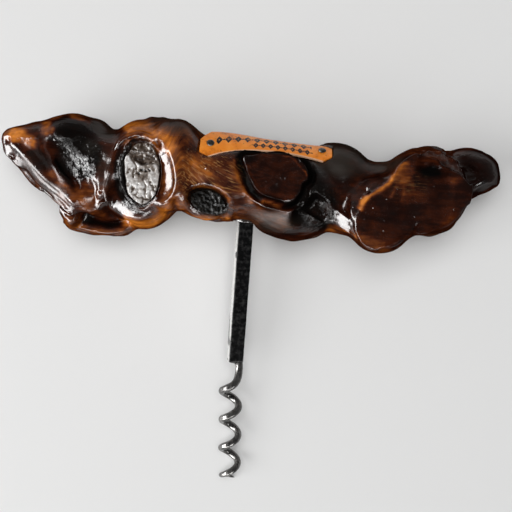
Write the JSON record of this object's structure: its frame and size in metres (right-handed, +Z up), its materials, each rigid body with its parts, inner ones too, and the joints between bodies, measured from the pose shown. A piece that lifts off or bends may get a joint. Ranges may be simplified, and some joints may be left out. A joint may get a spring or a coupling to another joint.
{
  "type": "corkscrew",
  "caption": "Direct-pull corkscrew: a polished gnarled vine-root handle across a square iron shank with a pointed wire worm, and a nailed copper strip.",
  "frame": {"origin": "middle of the flat sanded on the root's underside, under the point where the iron's axis crosses the handle", "axes": "+X along the handle to its lobed end, -Y out along the iron, +Z up off the table"},
  "size_m": [0.1812, 0.131, 0.0419],
  "materials": {
    "varnished_wood": "glossy varnish",
    "dead_wood": "dry and cracked",
    "charred_wood": "rough under varnish",
    "blackened_iron": "black oxide, worn bright on the worm",
    "grey_steel": "tarnished",
    "pitch": "hard glossy pitch",
    "copper": "lacquered copper"
  },
  "bodies": {
    "root": {"vine_root_handle": "varnished_wood", "dead_branch_stub": "dead_wood", "small_dead_knot": "charred_wood", "corkscrew_iron": "blackened_iron", "rivet_washer": "grey_steel", "pitch_bead": "pitch", "name_plaque": "copper", "plaque_nail_left": "grey_steel", "plaque_nail_right": "grey_steel"}
  },
  "joints": []
}
